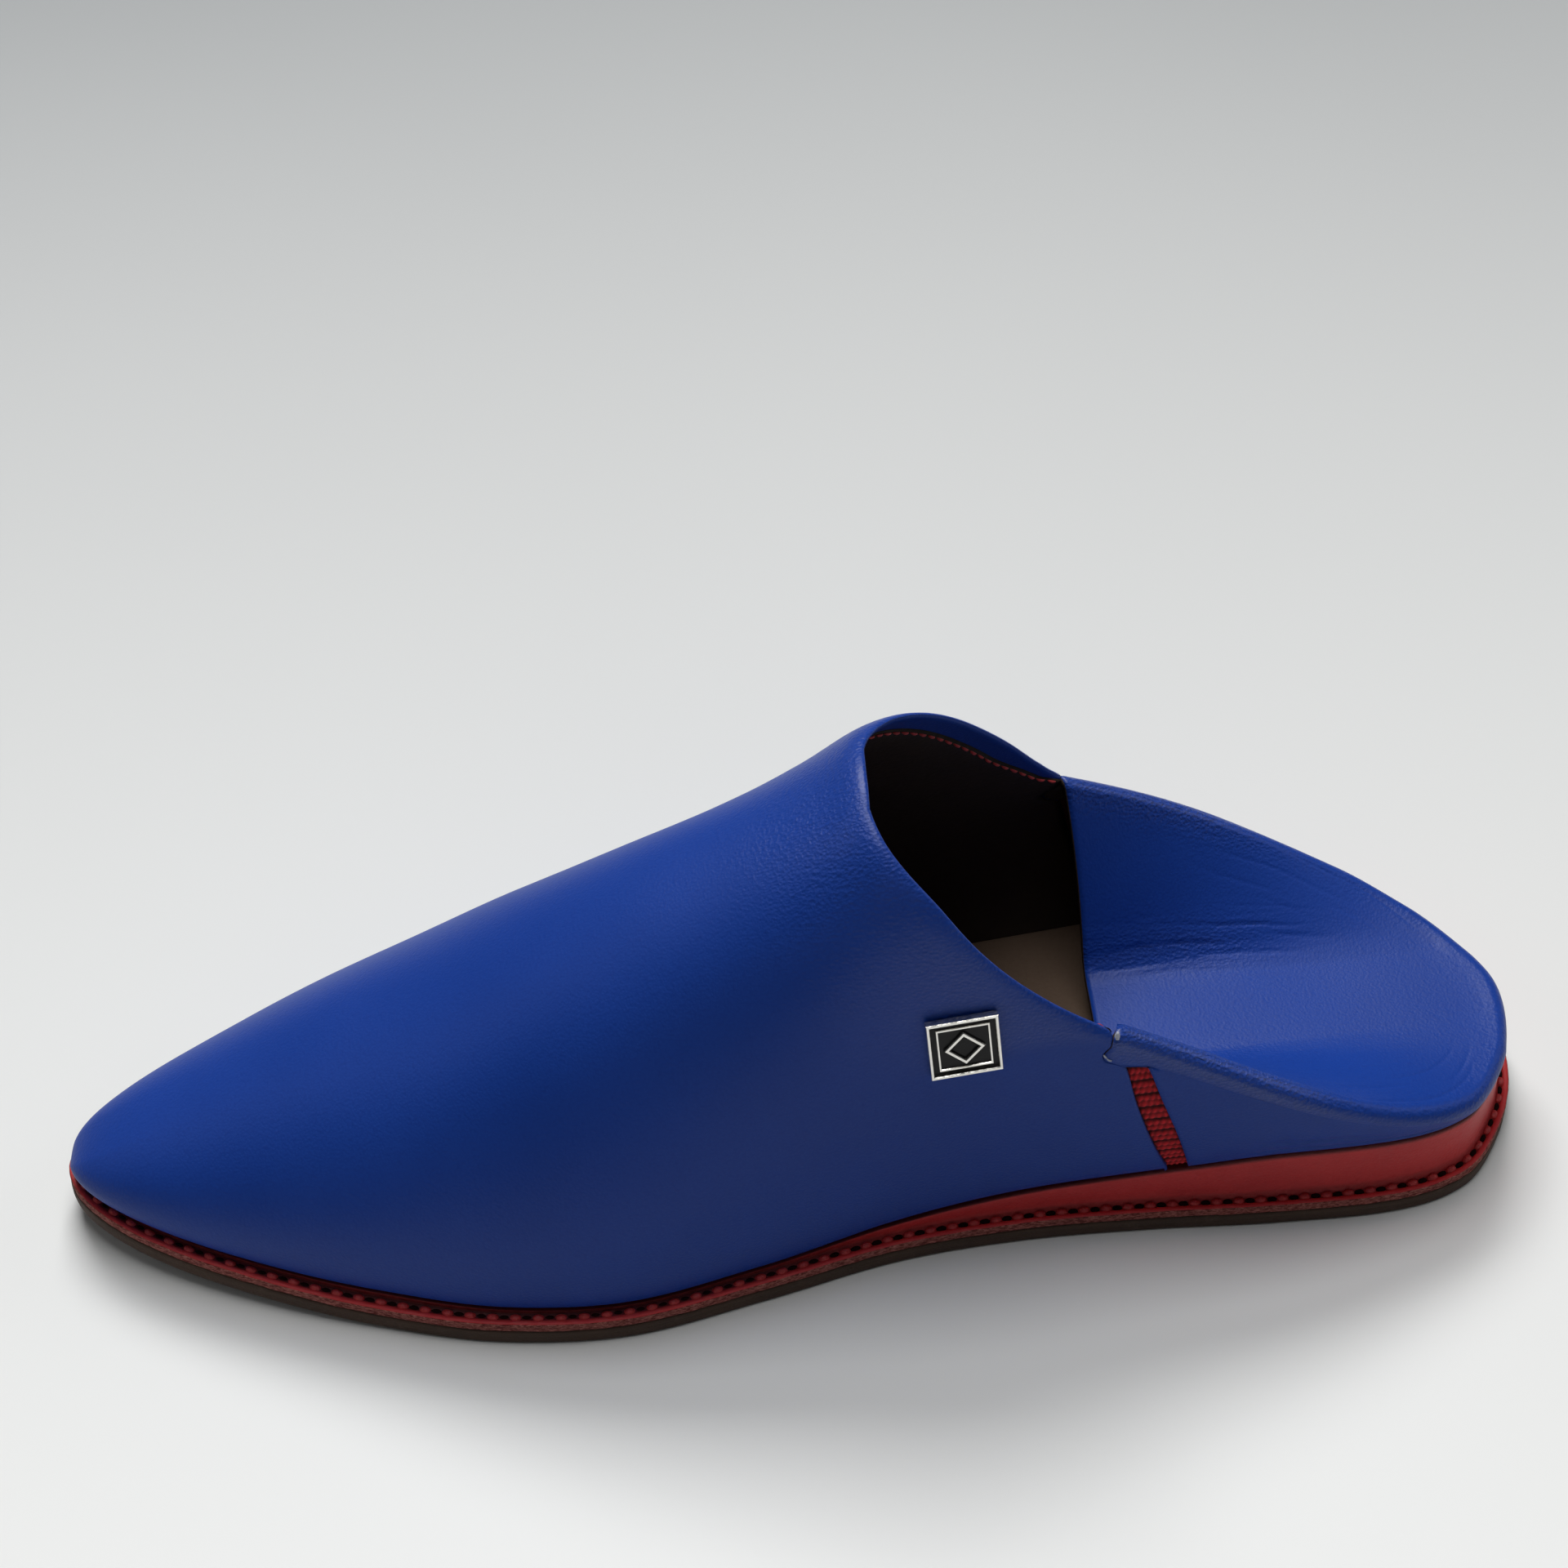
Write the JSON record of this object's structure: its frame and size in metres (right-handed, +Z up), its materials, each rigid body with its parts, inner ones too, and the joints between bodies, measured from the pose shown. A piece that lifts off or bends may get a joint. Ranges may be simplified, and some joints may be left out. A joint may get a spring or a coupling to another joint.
{
  "type": "babouche slipper",
  "caption": "Backless leather slipper with a pointed toe, a high vamp, a heel piece folded flat over the seat and a low red wedge sole.",
  "frame": {"origin": "under the middle of the slipper's box, on the ground that the sole stands on", "axes": "+X along the slipper from the heel to the toe, +Y to the wearer's left, which is the outer side of this left shoe, +Z up"},
  "size_m": [0.265, 0.0798, 0.0929],
  "materials": {
    "blue_leather": "satin",
    "red_leather": "satin",
    "outsole_leather": "matt",
    "insole_leather": "matt",
    "red_elastic": "ribbed",
    "silver_metal": "polished"
  },
  "bodies": {
    "root": {"outsole": "outsole_leather", "welt": "red_leather", "wedge": "red_leather", "insole": "insole_leather", "upper_vamp": "blue_leather", "upper_quarter": "blue_leather", "gore_lateral": "red_elastic", "gore_medial": "red_elastic", "ornament": "silver_metal"}
  },
  "joints": []
}
